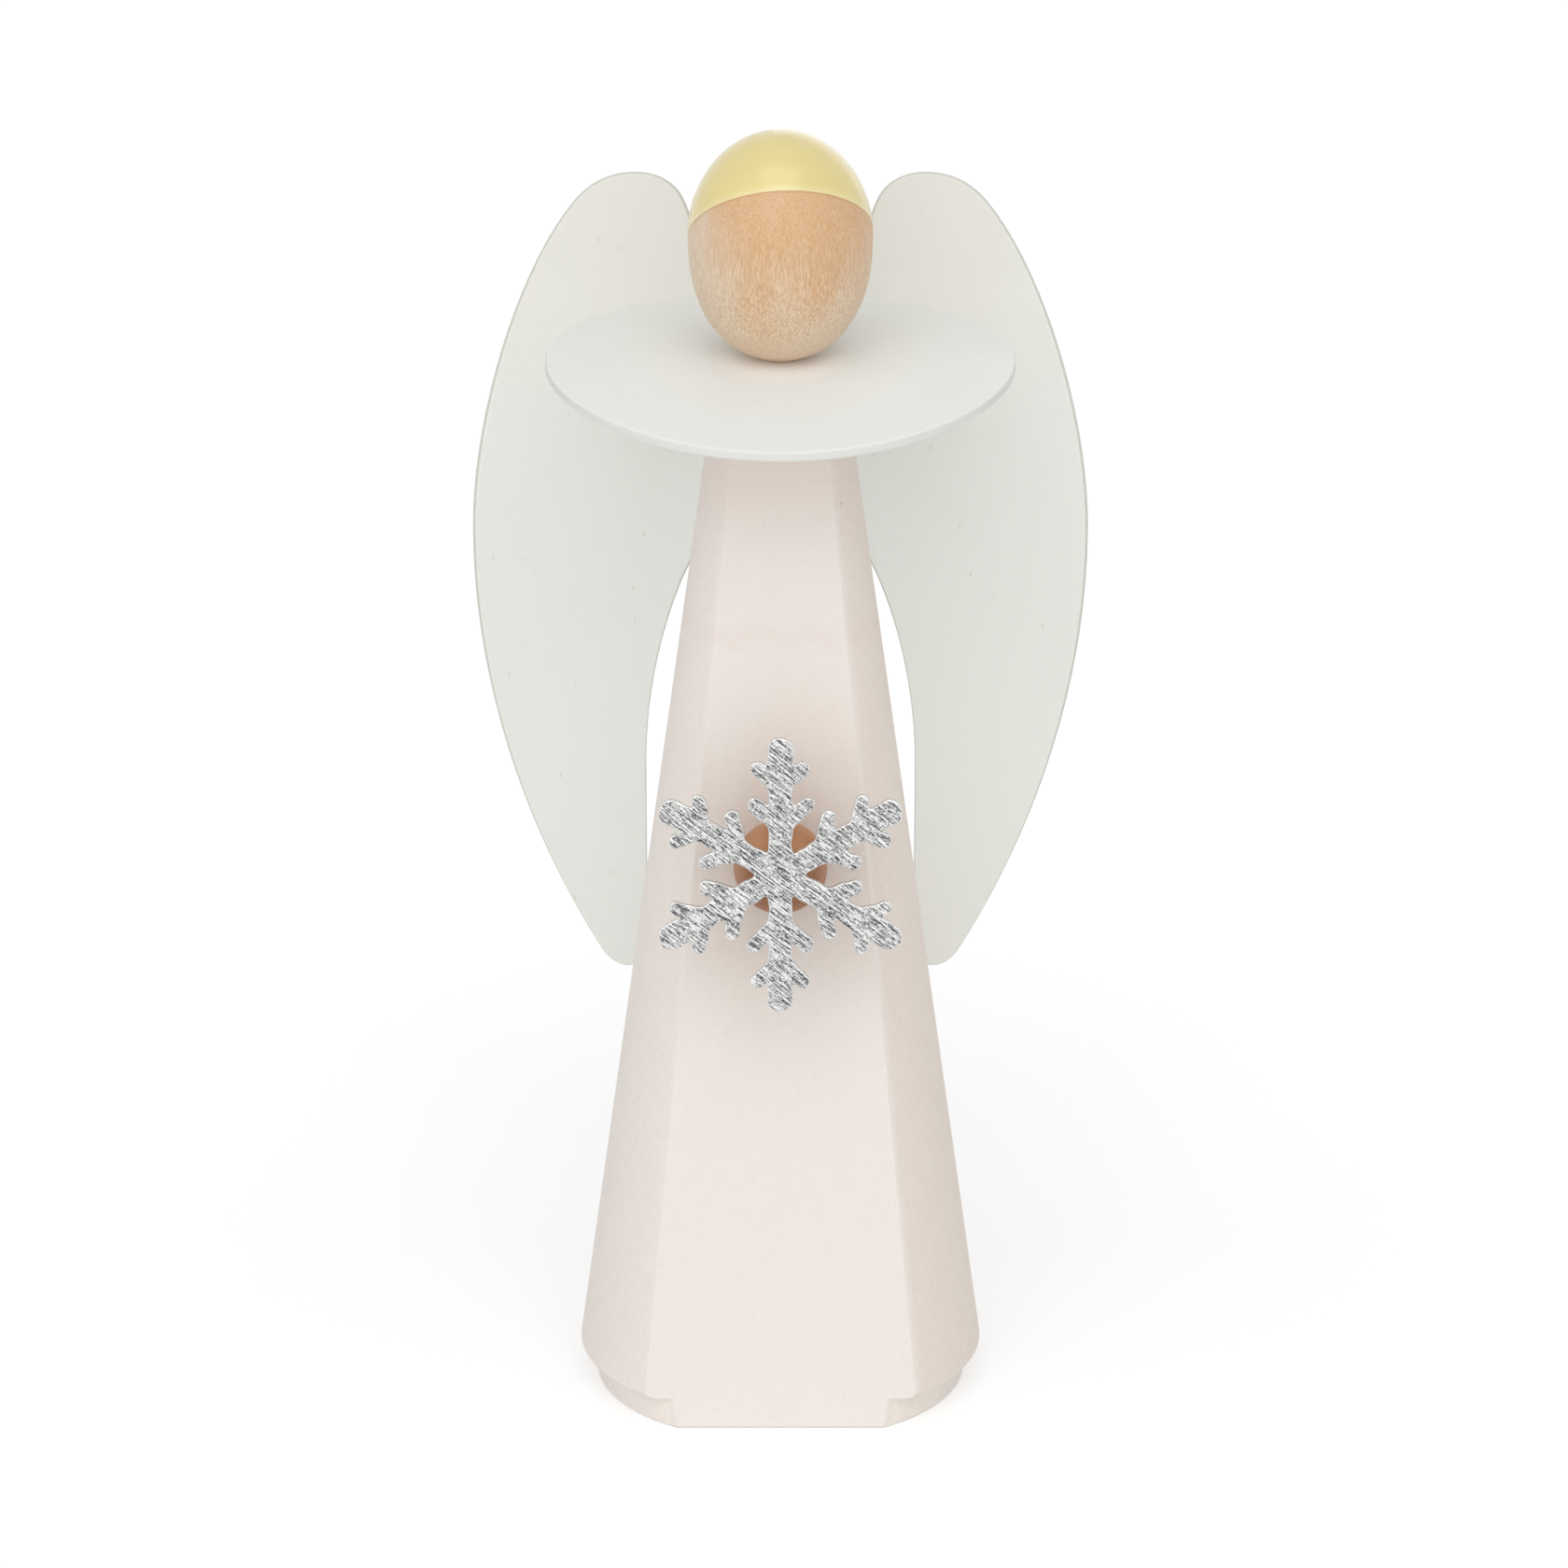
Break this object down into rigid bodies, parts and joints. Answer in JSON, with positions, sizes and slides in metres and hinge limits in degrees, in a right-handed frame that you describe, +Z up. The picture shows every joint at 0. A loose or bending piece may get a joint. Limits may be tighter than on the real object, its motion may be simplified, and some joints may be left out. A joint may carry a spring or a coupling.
{
  "type": "wooden angel figurine",
  "caption": "Abstract standing angel of turned and bent wood, with a conical robe, disc collar, faceless egg head, curved wings and a silver snowflake held on a small ball.",
  "frame": {"origin": "the robe's turning axis, on the flat underside that the figurine stands on", "axes": "+Z up along the robe's axis, -Y towards the front with the snowflake, +X towards the angel's own left wing"},
  "size_m": [0.0768, 0.0613, 0.1635],
  "materials": {
    "robe_stain": "matt pale pink stain, grain showing",
    "white_stain": "matt white stain, pores showing",
    "head_wood": "satin clear lacquer",
    "hair_lacquer": "gloss pale yellow lacquer",
    "ball_wood": "satin clear lacquer",
    "dowel_wood": "bare sanded wood",
    "silver_leaf": "streaked silver leaf on thin board"
  },
  "bodies": {
    "root": {"robe": "robe_stain", "collar": "white_stain", "head": "head_wood", "neck_dowel": "dowel_wood", "wing_left": "white_stain", "wing_right": "white_stain", "hand_ball": "ball_wood", "hand_peg": "dowel_wood", "snowflake": "silver_leaf"}
  },
  "joints": []
}
